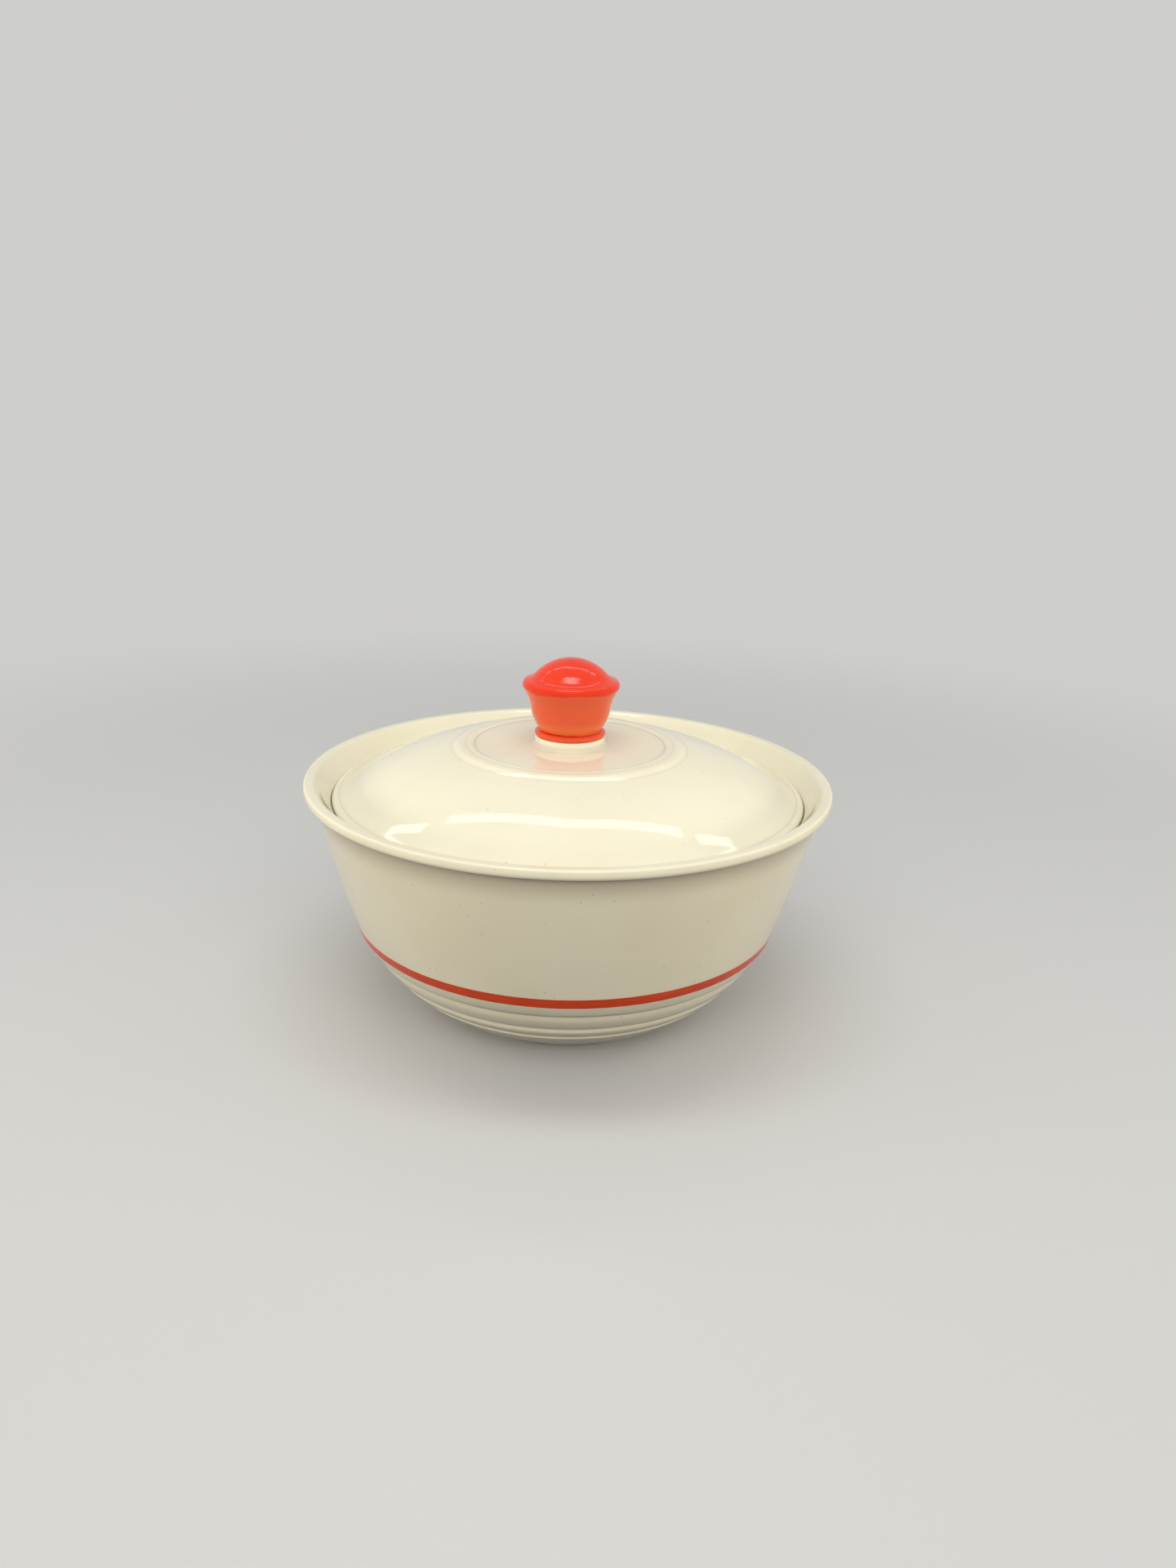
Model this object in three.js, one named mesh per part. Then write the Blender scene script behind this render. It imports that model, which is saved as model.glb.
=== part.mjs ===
// Covered candy dish in glazed earthenware: a flared bowl with a red line and turned ribs,
// and a domed lid with a red knob that drops into a ledge inside the rim.
// Millimetres, +Z up. The origin is on the table, under the middle of the foot.

import * as THREE from 'three';

// Bowl, outside
const rimRadius = 76;
const bowlHeight = 70.6;
const rimRoll = 1.4;
const rimOverhang = 2.8;
const underRimFillet = 0.8;
const shoulderRadius = 61.7;
const shoulderHeight = 27;
const wallBulge = 0.6;
const bellyBulge = 3.15;
const footRadius = 34.2;
const footHeight = 0.8;
const footWidth = 3;
const footChamfer = 0.3;
const footRecess = 1.8;

// Ribs turned into the belly, from the shoulder down, with a groove under each
const ribWidths = [3.6, 6.6, 4.9];
const ribDepth = 0.55;
const ribSquareness = 4;

// Bowl, inside
const wallThickness = 3.8;
const baseThickness = 4.2;
const rimFlat = 1.6;
const rimInnerEdge = 0.5;
const ledgeDepth = 7.1;
const ledgeWall = 3.4;
const ledgeLap = 1.4;
const ledgeFace = 1.2;
const ledgeReach = 8.5;

// Red line, a coat of enamel in a shallow groove above the shoulder
const bandWidth = 3;
const bandCoat = 0.5;
const bandBedGap = 0.3;

// Lid
const lidClearance = 0.8;
const lidThickness = 3.6;
const lidRise = 15.9;
const lidBulge = 1.35;
const lidEdgeHeight = 3.1;
const lidEdgeRound = 1.5;
const lidEdgeBand = 1.8;
const lidSeatWidth = 3;
const lidSeatFillet = 5;
const ringRadius = 27.5;
const ringWidth = 6.7;
const ringRise = 0.6;
const ringInnerStep = 1;
const ringOuterDrop = 0.8;
const ringBulge = 0.4;
const bossRise = 2.8;
const bossMargin = 0.3;
const bossFillet = 2;

// Knob
const flangeRadius = 10.3;
const flangeHeight = 1.9;
const neckRadius = 9;
const neckHeight = 2.6;
const cupRadius = 12.1;
const cupHeight = 11.2;
const cupBulge = 0.25;
const lipRadius = 14;
const lipHeight = 14.6;
const lipRoll = 2;
const domeFootRise = 3.2;
const domeRadius = 11;
const domeRise = 4.7;
const domeBulge = 1.25;

// Where the rounds start and end, in degrees up from level
const straightDown = -90;
const straightUp = 90;
const lidEdgeEnd = 45;
const flangeEnd = 60;
const lipStart = -30;
const lipEnd = 85;

// How finely round things are cut into flats: sides of a turned piece, and how far
// a flat may leave the arc that it stands for
const roundSegments = 48;
const knobSegments = 36;
const flatness = 0.04;

// Looks
const ivory = { color: 0xece4cc, roughness: 0.16, metalness: 0 };
const lineRed = { color: 0xb93a1f, roughness: 0.22, metalness: 0 };
const knobRed = { color: 0xd93a1e, roughness: 0.16, metalness: 0 };

const point = (radius, height) => new THREE.Vector2(radius, height);

// How many flats an arc of this radius takes to turn through an angle in radians.
// The count is even, so that an arc's middle is one of its points.
function flatsFor(radius, turn) {
  const turnPerPair = 4 * Math.acos(1 - Math.min(1, flatness / radius));
  return 2 * Math.max(1, Math.ceil(Math.abs(turn) / turnPerPair));
}

// An arc from one point of a profile to another that swells to the right of that direction.
// at() gives a point by its share of the arc, and radiusAt() the radius at a height.
// Both can lie deeper than the arc itself, by an inset towards its centre.
function bowedArc(from, to, bulge) {
  const chord = to.clone().sub(from);
  const halfChord = chord.length() / 2;
  const bend = (halfChord * halfChord + bulge * bulge) / (2 * bulge);
  const left = point(-chord.y, chord.x).normalize();
  const centre = from.clone().add(to).multiplyScalar(0.5).addScaledVector(left, bend - bulge);
  const start = from.clone().sub(centre).angle();
  const sweep = 2 * Math.asin(Math.min(1, halfChord / bend));
  const at = (share, inset = 0) => {
    const turn = start + sweep * share;
    const reach = bend - inset;
    return point(centre.x + reach * Math.cos(turn), centre.y + reach * Math.sin(turn));
  };
  const radiusAt = (height, inset = 0) => {
    const reach = bend - inset;
    return centre.x + Math.sqrt(Math.max(0, reach * reach - (height - centre.y) ** 2));
  };
  return { at, radiusAt, bend, sweep, length: bend * sweep };
}

// Even points along an arc from one share of it to another, both ends included.
function stretch(arc, first, last, inset = 0) {
  const steps = flatsFor(arc.bend, (last - first) * arc.sweep);
  const points = [];
  for (let step = 0; step <= steps; step += 1) {
    points.push(arc.at(first + (last - first) * step / steps, inset));
  }
  return points;
}

// Points along an arc at even heights from one height to another, both ends included.
function climb(arc, firstHeight, lastHeight, inset = 0) {
  const steps = flatsFor(arc.bend, (lastHeight - firstHeight) / arc.bend);
  const points = [];
  for (let step = 0; step <= steps; step += 1) {
    const height = firstHeight + (lastHeight - firstHeight) * step / steps;
    points.push(point(arc.radiusAt(height, inset), height));
  }
  return points;
}

// A round: points at one radius about a centre, from one angle to another in degrees.
function roundOff(centre, radius, firstAngle, lastAngle) {
  const firstTurn = THREE.MathUtils.degToRad(firstAngle);
  const turn = THREE.MathUtils.degToRad(lastAngle - firstAngle);
  const steps = flatsFor(radius, turn);
  const points = [];
  for (let step = 0; step <= steps; step += 1) {
    const angle = firstTurn + turn * step / steps;
    points.push(point(centre.x + radius * Math.cos(angle), centre.y + radius * Math.sin(angle)));
  }
  return points;
}

// A piece turned about the Z axis from its profile, foot first and anticlockwise.
function turned(name, profile, segments, looks) {
  const geometry = new THREE.LatheGeometry(profile, segments);
  geometry.rotateX(Math.PI / 2);
  const mesh = new THREE.Mesh(geometry, new THREE.MeshStandardMaterial(looks));
  mesh.name = name;
  return mesh;
}

// Shapes that the bowl, the line and the lid share
const shoulder = point(shoulderRadius, shoulderHeight);
const rollCentre = point(rimRadius - rimRoll, bowlHeight - rimRoll);
const underRim = point(rimRadius - rimOverhang, bowlHeight - 2 * rimRoll - underRimFillet);
const belly = bowedArc(point(footRadius, footHeight), shoulder, bellyBulge);
const wall = bowedArc(shoulder, underRim, wallBulge);
const bandTop = shoulderHeight + bandWidth;
const seatHeight = bowlHeight - ledgeDepth;
const seatOuterRadius = wall.radiusAt(seatHeight) - ledgeWall;
const lidRadius = seatOuterRadius - lidClearance;
const discHeight = seatHeight + lidRise;
const knobSeat = discHeight + bossRise;

// The belly from the foot up to the shoulder, with a rounded rib between each pair of grooves.
function ribbedBelly() {
  const acrossRib = [0.75, 0, -0.75, -1];
  const downward = [];
  let top = belly.length;
  for (const width of ribWidths) {
    for (const across of acrossRib) {
      const distance = top - width * (1 - across) / 2;
      downward.push(belly.at(distance / belly.length, ribDepth * across ** ribSquareness));
    }
    top -= width;
  }
  const plain = stretch(belly, 0, (top - ribDepth) / belly.length);
  return [...plain, ...downward.reverse()];
}

function makeBowl() {
  const footInside = footRadius - footWidth;
  const floorHeight = footRecess + baseThickness;
  const bedInset = bandCoat + bandBedGap;
  const rimInside = rollCentre.x - rimFlat - rimInnerEdge;
  const ledgeInside = lidRadius - lidEdgeRound - ledgeLap;
  const ledgeFoot = seatHeight - ledgeReach;
  const profile = [
    point(0, footRecess),
    point(footInside - footRecess, footRecess),
    point(footInside, 0),
    point(footRadius - footChamfer, 0),
    point(footRadius, footChamfer),
    ...ribbedBelly(),
    shoulder,
    point(wall.radiusAt(shoulderHeight, bedInset), shoulderHeight),
    point(wall.radiusAt(bandTop, bedInset), bandTop),
    ...climb(wall, bandTop, underRim.y),
    ...roundOff(rollCentre, rimRoll, straightDown, straightUp),
    point(rimInside + rimInnerEdge, bowlHeight),
    point(rimInside, bowlHeight - rimInnerEdge),
    point(seatOuterRadius, seatHeight),
    point(ledgeInside, seatHeight),
    point(ledgeInside, seatHeight - ledgeFace),
    ...climb(wall, ledgeFoot, bandTop, wallThickness),
    ...climb(belly, shoulderHeight - bandWidth, floorHeight, wallThickness),
    point(0, floorHeight),
  ];
  return turned('bowl', profile, roundSegments, ivory);
}

function makeRedBand() {
  const innerFoot = point(wall.radiusAt(shoulderHeight, bandCoat), shoulderHeight);
  const profile = [
    innerFoot,
    shoulder,
    point(wall.radiusAt(bandTop), bandTop),
    point(wall.radiusAt(bandTop, bandCoat), bandTop),
    innerFoot,
  ];
  return turned('red_band', profile, roundSegments, lineRed);
}

function makeLid() {
  const crease = point(lidRadius - lidEdgeBand, seatHeight + lidEdgeHeight);
  const edgeCentre = point(lidRadius - lidEdgeRound, seatHeight + lidEdgeRound);
  const seatInside = lidRadius - lidEdgeRound - lidSeatWidth;
  const ringOuter = point(ringRadius + ringWidth, discHeight - ringOuterDrop);
  const ringCrown = point(ringRadius + ringInnerStep, discHeight + ringRise);
  const dome = bowedArc(crease, ringOuter, lidBulge);
  const ring = bowedArc(ringOuter, ringCrown, ringBulge);
  const hollowTop = discHeight - lidThickness;
  const bossRadius = flangeRadius + bossMargin;
  const fillet = Math.min(bossFillet, bossRise);
  const filletCentre = point(bossRadius + fillet, discHeight + fillet);
  const profile = [
    point(0, hollowTop),
    point(ringRadius, hollowTop),
    ...stretch(dome, 1, lidSeatFillet / dome.length, lidThickness),
    point(seatInside, seatHeight),
    ...roundOff(edgeCentre, lidEdgeRound, straightDown, lidEdgeEnd),
    ...stretch(dome, 0, 1),
    ...stretch(ring, 0, 1).slice(1),
    point(ringRadius, discHeight),
    ...roundOff(filletCentre, fillet, straightDown, straightDown - 90),
    point(bossRadius, knobSeat),
    point(0, knobSeat),
  ];
  return turned('lid', profile, roundSegments, ivory);
}

function makeKnob() {
  const flangeRound = flangeHeight / 2;
  const flangeCentre = point(flangeRadius - flangeRound, knobSeat + flangeRound);
  const neck = point(neckRadius, knobSeat + neckHeight);
  const cupTop = point(cupRadius, knobSeat + cupHeight);
  const lipCentre = point(lipRadius - lipRoll, knobSeat + lipHeight);
  const domeFoot = point(domeRadius, lipCentre.y + domeFootRise);
  const domeTop = point(0, domeFoot.y + domeRise);
  const cup = bowedArc(neck, cupTop, cupBulge);
  const dome = bowedArc(domeFoot, domeTop, domeBulge);
  const profile = [
    point(0, knobSeat),
    ...roundOff(flangeCentre, flangeRound, straightDown, flangeEnd),
    ...stretch(cup, 0, 1),
    ...roundOff(lipCentre, lipRoll, lipStart, lipEnd),
    ...stretch(dome, 0, 1),
  ];
  return turned('lid_knob', profile, knobSegments, knobRed);
}

const bowlGroup = new THREE.Group();
bowlGroup.add(makeBowl(), makeRedBand());

const lidGroup = new THREE.Group();
lidGroup.add(makeLid(), makeKnob());

const candyDish = new THREE.Group();
candyDish.add(bowlGroup, lidGroup);

export default candyDish;
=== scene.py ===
# %% [markdown]
# # A covered candy dish in glazed earthenware
# A flared bowl with a red line and turned ribs, closed by a domed lid with a red knob. The CAD model already
# holds the four pieces at their real size, faceted and plain. This lesson makes the surfaces that a hand and
# an eye would meet: round walls, edges softened by the glaze, and the glazes themselves.
# Blender works in metres, and the profiles are written in millimetres. Both are in the model's own frame, so
# a new piece goes exactly where its plain solid is.

# %% Load the frame
import cmath
import math
from dataclasses import dataclass

import bmesh
import bpy
import numpy as np
from mathutils import Matrix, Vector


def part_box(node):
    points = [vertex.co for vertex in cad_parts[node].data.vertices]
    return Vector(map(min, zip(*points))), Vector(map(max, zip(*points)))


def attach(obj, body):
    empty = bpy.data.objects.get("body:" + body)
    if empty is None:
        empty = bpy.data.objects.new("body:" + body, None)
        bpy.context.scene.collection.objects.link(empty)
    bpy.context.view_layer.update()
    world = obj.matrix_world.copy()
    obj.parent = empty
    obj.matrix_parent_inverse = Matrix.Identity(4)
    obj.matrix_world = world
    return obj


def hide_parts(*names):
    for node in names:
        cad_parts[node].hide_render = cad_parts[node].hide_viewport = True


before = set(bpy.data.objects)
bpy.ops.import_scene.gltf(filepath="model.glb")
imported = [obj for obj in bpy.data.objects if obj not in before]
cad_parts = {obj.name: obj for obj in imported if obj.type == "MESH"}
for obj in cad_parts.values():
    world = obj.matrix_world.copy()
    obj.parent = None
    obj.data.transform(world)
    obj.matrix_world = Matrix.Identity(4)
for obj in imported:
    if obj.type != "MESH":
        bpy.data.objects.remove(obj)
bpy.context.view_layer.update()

MM = 0.001

# %% [markdown]
# ## Sizes that come from the solids
# The dish is turned on a wheel, so three numbers place each solid: how far it reaches from the axis, and the
# heights of its foot and its top. Reading them from the frame keeps the two models together when one changes.

# %% Read the solids


def reach(node):
    """How far a solid reaches from the axis, and the heights of its foot and its top, in millimetres."""
    low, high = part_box(node)
    return high.x / MM, low.z / MM, high.z / MM


rim_radius, _, rim_height = reach("bowl")
_, line_foot, line_top = reach("red_band")
lid_radius, seat_height, knob_seat = reach("lid")
lip_radius, _, knob_top = reach("lid_knob")
print(f"rim {rim_radius:.1f} mm at {rim_height:.1f}, lid {lid_radius:.2f} on a seat at {seat_height:.1f}")

# %% [markdown]
# ## Profiles
# A potter's template is half of the section of a pot. Here it is a list of points, each written as one
# complex number: the real part is the distance from the axis and the imaginary part the height, both in
# millimetres. That makes arcs short to write, because turning a point about another is one multiplication.
# A template is cut from straight lines and arcs, so a few sizes say all of it.

# %% Arcs for the profiles
ARC_STEPS = 64


def at(radius, height):
    """A profile point at this distance from the axis and this height."""
    return complex(radius, height)


class Bow:
    """An arc from one profile point to another that swells to the right of that direction."""

    def __init__(self, start, end, bulge):
        half = abs(end - start) / 2
        self.bend = (half**2 + bulge**2) / (2 * bulge)
        self.centre = (start + end) / 2 + 1j * (end - start) / (2 * half) * (self.bend - bulge)
        self.first = cmath.phase(start - self.centre)
        self.sweep = 2 * math.asin(half / self.bend)
        self.length = self.bend * self.sweep

    def point(self, share, inset=0.0):
        """The point at a share of the arc, or deeper than the arc by an inset."""
        return self.centre + cmath.rect(self.bend - inset, self.first + self.sweep * share)

    def radius(self, height, inset=0.0):
        """The distance from the axis at a height."""
        depth = height - self.centre.imag
        return self.centre.real + math.sqrt((self.bend - inset) ** 2 - depth**2)

    def run(self, first=0.0, last=1.0, inset=0.0):
        """Points from one share of the arc to another."""
        return [self.point(share, inset) for share in np.linspace(first, last, ARC_STEPS)]

    def climb(self, first, last, inset=0.0):
        """Points from one height to another."""
        return [at(self.radius(height, inset), height) for height in np.linspace(first, last, ARC_STEPS)]


def rounded(centre, radius, first, last):
    """Points on a round about a centre, from one angle to another in degrees up from level."""
    return [centre + cmath.rect(radius, math.radians(angle)) for angle in np.linspace(first, last, ARC_STEPS)]


print("points in each arc:", ARC_STEPS)

# %% [markdown]
# ## What glaze does to an edge
# Melted glaze flows: it thins over a sharp edge and gathers in a hollow, so no corner of a glazed pot is
# sharp. A Bevel modifier would round every corner alike. Smoothing the profile itself with a bell curve is
# closer to the flow, because a sharp corner moves more than a blunt one. The profile is first cut into very
# short steps, smoothed, and then thinned again, so that points stay only where the line turns.
# How fast the line turns is kept beside each point as `fold`: above zero on an edge, below zero in a hollow.
# The glaze material reads it later.

# %% Soften and thin a profile
GRAIN = 0.05
BELL_REACH = 4
FOLD_LENGTH = 0.6
LARGEST_TURN = math.radians(6)
LARGEST_STEP = 1.6


def evenly_cut(profile):
    """The profile as points one grain apart."""
    corners = np.array(profile)
    along = np.concatenate([[0.0], np.cumsum(np.abs(np.diff(corners)))])
    steps = np.linspace(0, along[-1], int(along[-1] / GRAIN) + 1)
    return np.interp(steps, along, corners)


def glazed(profile, flow):
    """The profile under a glaze that flows this far, in millimetres. It starts and ends on the axis."""
    line = evenly_cut(profile)
    count = int(BELL_REACH * flow / GRAIN)
    bell = np.exp(-0.5 * (np.arange(-count, count + 1) * GRAIN / flow) ** 2)
    before = -np.conj(line[count:0:-1])
    after = -np.conj(line[-2 : -2 - count : -1])
    return np.convolve(np.concatenate([before, line, after]), bell / bell.sum(), mode="valid")


def thinned(line):
    """The points to keep, and the fold at each."""
    heading = np.unwrap(np.angle(np.diff(line)))
    fold = np.gradient(heading, GRAIN) * FOLD_LENGTH
    kept = [0]
    for index in range(1, len(heading)):
        turned = abs(heading[index] - heading[kept[-1]])
        if turned > LARGEST_TURN or abs(line[index] - line[kept[-1]]) > LARGEST_STEP:
            kept.append(index)
    folds = np.clip(fold[kept], -1, 1)
    return np.append(line[kept], line[-1]), np.append(folds, 0.0)


trial_flow = 0.3
trial_profile = [at(0, 0), at(10, 0), at(10, 10), at(0, 10)]
trial_folds = thinned(glazed(trial_profile, trial_flow))[1]
print(f"a square corner under {trial_flow} mm of flow folds to {max(trial_folds):.2f}")

# %% [markdown]
# ## A shorthand for nodes
# Geometry Nodes and materials are both trees of nodes. Two small classes make them readable in a script. A
# `Bench` adds a node: its type, its settings, then the values or links of its sockets. A `Wire` is a socket
# that something comes out of, and it takes part in ordinary sums: `1 - mask` adds the Math node that does it.

# %% Bench and Wire


class Wire:
    """An output socket that can be reckoned with."""

    def __init__(self, bench, socket):
        self.bench = bench
        self.socket = socket

    def out(self, name):
        """Another output of the same node."""
        return Wire(self.bench, self.socket.node.outputs[name])

    def maths(self, operation, *values):
        """A Math node on these values, in this order."""
        return self.bench.add("ShaderNodeMath", {"operation": operation}, dict(enumerate(values)))

    def __add__(self, other):
        return self.maths("ADD", self, other)

    def __sub__(self, other):
        return self.maths("SUBTRACT", self, other)

    def __rsub__(self, other):
        return self.maths("SUBTRACT", other, self)

    def __mul__(self, other):
        return self.maths("MULTIPLY", self, other)

    def __pow__(self, other):
        return self.maths("POWER", self, other)

    __radd__ = __add__
    __rmul__ = __mul__

    def ramp(self, low, high):
        """From 0 at the low value to 1 at the high one, smoothly."""
        limits = {"Value": self, "From Min": low, "From Max": high}
        return self.bench.add("ShaderNodeMapRange", {"interpolation_type": "SMOOTHSTEP"}, limits)


class Bench:
    """A node tree that nodes are added to."""

    def __init__(self, tree):
        self.tree = tree

    def add(self, kind, settings=None, inputs=None, out=0):
        """A node of a kind, with its settings and then its sockets' values or wires. Gives one output."""
        node = self.tree.nodes.new(kind)
        for name, value in (settings or {}).items():
            setattr(node, name, value)
        for key, value in (inputs or {}).items():
            if isinstance(value, Wire):
                self.tree.links.new(value.socket, node.inputs[key])
            else:
                node.inputs[key].default_value = value
        return Wire(self, node.outputs[out]) if node.outputs else None

    def vector(self, x, y, z):
        """A vector of three values."""
        return self.add("ShaderNodeCombineXYZ", None, {"X": x, "Y": y, "Z": z})

    def noise(self, place, scale, detail=2.0, seed=0.0):
        """Cloudy noise from 0 to 1, with this many clouds to a unit of length."""
        inputs = {"Vector": place, "W": seed, "Scale": scale, "Detail": detail}
        return self.add("ShaderNodeTexNoise", {"noise_dimensions": "4D"}, inputs)

    def mixed(self, share, first, second):
        """A colour between two others."""
        return self.add("ShaderNodeMix", {"data_type": "RGBA"}, {0: share, 6: first, 7: second}, out=2)


trial_tree = bpy.data.node_groups.new("trial", "ShaderNodeTree")
trial_mask = Bench(trial_tree).add("ShaderNodeValue")
print("1 - mask adds a Math node set to", (1 - trial_mask).socket.node.operation)
bpy.data.node_groups.remove(trial_tree)

# %% [markdown]
# ## Turning a piece
# Bowl, lid and knob are all made by one rule, so one Geometry Nodes tree makes them. It starts from a flat
# grid one unit wide: across the grid runs the angle about the axis, and up the grid run the points of the
# profile. Each grid point looks up its profile point and swings it round to its angle. Merge by Distance then
# closes the seam, and gathers the points on the axis into one. A Screw modifier could turn a profile too, but
# here the roundness can waver a little, as it does on ware that is fettled by hand.

# %% Parts of a tree
FULL_TURN = 2 * math.pi


def start_tree(title, sockets):
    """A Geometry Nodes tree with these named inputs, and the wire that gives them."""
    tree = bpy.data.node_groups.new(title, "GeometryNodeTree")
    for name, kind in sockets:
        tree.interface.new_socket(name, in_out="INPUT", socket_type="NodeSocket" + kind)
    tree.interface.new_socket("Piece", in_out="OUTPUT", socket_type="NodeSocketGeometry")
    bench = Bench(tree)
    return bench, bench.add("NodeGroupInput")


def unit_grid(bench, across, along):
    """A grid one unit wide, with its own across and along from 0 to 1."""
    counts = {"Size X": 1.0, "Size Y": 1.0, "Vertices X": across, "Vertices Y": along}
    grid = bench.add("GeometryNodeMeshGrid", None, counts)
    split = bench.add("ShaderNodeSeparateXYZ", None, {0: bench.add("GeometryNodeInputPosition")})
    return grid, split + 0.5, split.out("Y") + 0.5


def swung(bench, radius, height, angle):
    """A place at this radius, height and angle about the axis."""
    east = radius * angle.maths("COSINE", angle)
    north = radius * angle.maths("SINE", angle)
    return bench.vector(east, north, height)


def end_tree(bench, geometry, place, given):
    """Moves the grid to its place, welds it shut and gives it its finish."""
    moved = bench.add("GeometryNodeSetPosition", None, {"Geometry": geometry, "Position": place})
    weld = {"Geometry": moved, "Distance": given.out("Weld")}
    welded = bench.add("GeometryNodeMergeByDistance", None, weld)
    smooth = bench.add("GeometryNodeSetShadeSmooth", None, {"Geometry": welded})
    real = bench.add("GeometryNodeRealizeInstances", None, {"Geometry": smooth})
    finish = {"Geometry": real, "Material": given.out("Finish")}
    finished = bench.add("GeometryNodeSetMaterial", None, finish)
    bench.add("NodeGroupOutput", None, {"Piece": finished})
    return bench.tree


print(f"a full turn is {FULL_TURN:.4f} radians")

# %% The wheel


def sampled(bench, kind, profile, value, row):
    """A profile's value at a row of the grid."""
    settings = {"data_type": kind, "domain": "POINT"}
    return bench.add("GeometryNodeSampleIndex", settings, {"Geometry": profile, "Value": value, "Index": row})


def wheel_tree():
    """The tree that turns a profile about the axis, a little out of round."""
    bench, given = start_tree(
        "Turn on the wheel",
        [("Profile", "Geometry"), ("Sides", "Int"), ("Waver", "Float"), ("Clouds", "Float")]
        + [("Seed", "Float"), ("Weld", "Float"), ("Finish", "Material")],
    )
    profile = given.out("Profile")
    count = bench.add("GeometryNodeAttributeDomainSize", {"component": "MESH"}, {"Geometry": profile})
    grid, across, along = unit_grid(bench, given.out("Sides") + 1, count)
    row = along.maths("ROUND", along * (count - 1))
    place = sampled(bench, "FLOAT_VECTOR", profile, bench.add("GeometryNodeInputPosition"), row)
    named = bench.add("GeometryNodeInputNamedAttribute", {"data_type": "FLOAT"}, {"Name": "fold"})
    fold = sampled(bench, "FLOAT", profile, named, row)
    store = {"data_type": "FLOAT", "domain": "POINT"}
    stored = {"Geometry": grid, "Name": "fold", "Value": fold}
    folded = bench.add("GeometryNodeStoreNamedAttribute", store, stored)
    split = bench.add("ShaderNodeSeparateXYZ", None, {0: place})
    angle = across * FULL_TURN
    steady = swung(bench, split, split.out("Z"), angle)
    cloud = bench.noise(steady, given.out("Clouds"), 1.0, given.out("Seed"))
    radius = split * (1 + (cloud - 0.5) * given.out("Waver"))
    return end_tree(bench, folded, swung(bench, radius, split.out("Z"), angle), given)


wheel = wheel_tree()
print("nodes in the wheel:", len(wheel.nodes))

# %% [markdown]
# ## From tree to plain mesh
# A modifier's inputs are set by each socket's identifier, because two sockets may share a name. Once they are
# set, the object is evaluated and the result is copied to a mesh of its own, so nothing later depends on the
# tree. Each piece is then counted: an edge that doesn't join exactly two faces would be a hole, and a volume
# below zero would mean that the faces point inwards.

# %% Make pieces from trees
WELD = 1e-6
WAVER = 0.0008
WAVER_CLOUDS = 22.0


def grown(name, start_mesh, tree, inputs):
    """An object whose mesh is what the tree makes of the start mesh."""
    piece = bpy.data.objects.new(name, start_mesh)
    bpy.context.scene.collection.objects.link(piece)
    modifier = piece.modifiers.new("Tree", "NODES")
    modifier.node_group = tree
    for socket in tree.interface.items_tree:
        if socket.in_out == "INPUT" and socket.name in inputs:
            modifier[socket.identifier] = inputs[socket.name]
    graph = bpy.context.evaluated_depsgraph_get()
    made = bpy.data.meshes.new_from_object(piece.evaluated_get(graph), depsgraph=graph)
    piece.modifiers.clear()
    piece.data = made
    made.name = name
    return piece


def report(piece):
    """Counts a piece's faces and open edges, and measures its volume."""
    shape = bmesh.new()
    shape.from_mesh(piece.data)
    open_edges = sum(not edge.is_manifold for edge in shape.edges)
    triangles = sum(len(face.verts) - 2 for face in shape.faces)
    volume = shape.calc_volume(signed=True) * 1e6
    shape.free()
    print(f"{piece.name}: {triangles} triangles, {open_edges} open edges, {volume:.1f} ml")


def profile_mesh(name, profile, flow):
    """The softened profile as a line of edges, with the fold at each point."""
    line, folds = thinned(glazed(profile, flow))
    mesh = bpy.data.meshes.new(name + "_profile")
    corners = [(point.real * MM, 0.0, point.imag * MM) for point in line]
    mesh.from_pydata(corners, [(i, i + 1) for i in range(len(line) - 1)], [])
    mesh.attributes.new("fold", "FLOAT", "POINT").data.foreach_set("value", folds)
    return mesh


def turned_piece(name, profile, flow, finish, sides, seed):
    """A piece turned from its profile."""
    inputs = {"Sides": sides, "Weld": WELD, "Finish": finish}
    inputs |= {"Waver": WAVER, "Clouds": WAVER_CLOUDS, "Seed": seed}
    piece = grown(name, profile_mesh(name, profile, flow), wheel, inputs)
    report(piece)
    return piece


print(f"a piece strays from round by at most {WAVER / 2:.2%} of its radius")

# %% [markdown]
# ## Ivory glaze
# The body is a pale earthenware under a warm clear glaze. From a step away it is one even ivory. Close up
# there are soft clouds where the glaze is thicker, and pinholes, tiny grey dots where a gas bubble broke at
# the end of the firing. A deeper tone in the hollows is partly glaze that gathered there and partly painted
# shade, and painted shade darkens the wall just under the rim, where the rim's overhang shades it. The foot
# ring was wiped clean before firing so that it wouldn't stick to the shelf, so it shows the bare clay.
# A painted picture could hold all this, but it would need a map of the surface. Here the dots are the places
# where the surface passes close to the points of a Voronoi pattern in space, and they differ in size by how
# close it passes. Object coordinates keep them on the piece.

# %% Helpers for finishes
GLAZE_IOR = 1.5
PINHOLE_CORE = 0.2


def new_finish(name):
    """A material with its bench, its Principled shader and the place on the piece in metres."""
    material = bpy.data.materials.new(name)
    material.use_nodes = True
    bench = Bench(material.node_tree)
    place = bench.add("ShaderNodeTexCoord").out("Object")
    return material, bench, material.node_tree.nodes["Principled BSDF"], place


def plug(bench, value, socket):
    """Links a wire to a socket that is already there."""
    bench.tree.links.new(value.socket, socket)


def hollows(bench, faint, full):
    """0 on flats and edges, rising to 1 in the hollows of the profile, from a faint fold to a full one."""
    fold = bench.add("ShaderNodeAttribute", {"attribute_name": "fold"}).out("Fac")
    return (fold * -1).ramp(faint, full)


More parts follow.
